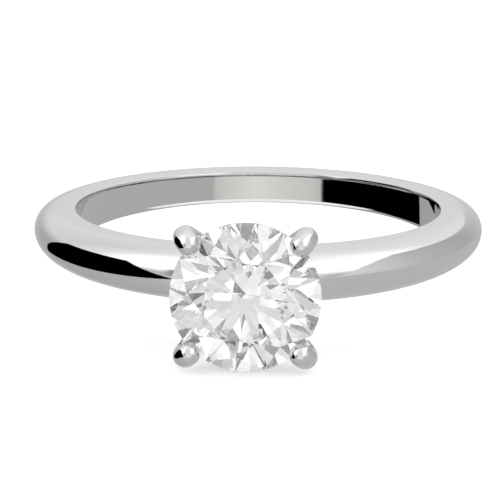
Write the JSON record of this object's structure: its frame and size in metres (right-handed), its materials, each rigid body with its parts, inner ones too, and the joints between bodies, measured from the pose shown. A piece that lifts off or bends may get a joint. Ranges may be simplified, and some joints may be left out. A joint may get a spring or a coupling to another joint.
{
  "type": "engagement ring",
  "caption": "Solitaire ring: a polished white metal shank that widens towards a four-prong head holding one round brilliant-cut stone.",
  "frame": {"origin": "centre of the finger bore, in the middle of the shank's width", "axes": "+Z along the finger bore, the stone faces -Y, +X to the right of someone facing the stone"},
  "size_m": [0.0198, 0.0241, 0.0064],
  "materials": {
    "white_gold": "high polish, rhodium plated",
    "diamond": "polished facets"
  },
  "bodies": {
    "root": {"shank": "white_gold", "head_peg": "white_gold", "base_collet": "white_gold", "gallery_rail": "white_gold", "prong_upper_left": "white_gold", "prong_upper_right": "white_gold", "prong_lower_left": "white_gold", "prong_lower_right": "white_gold", "diamond": "diamond"}
  },
  "joints": []
}
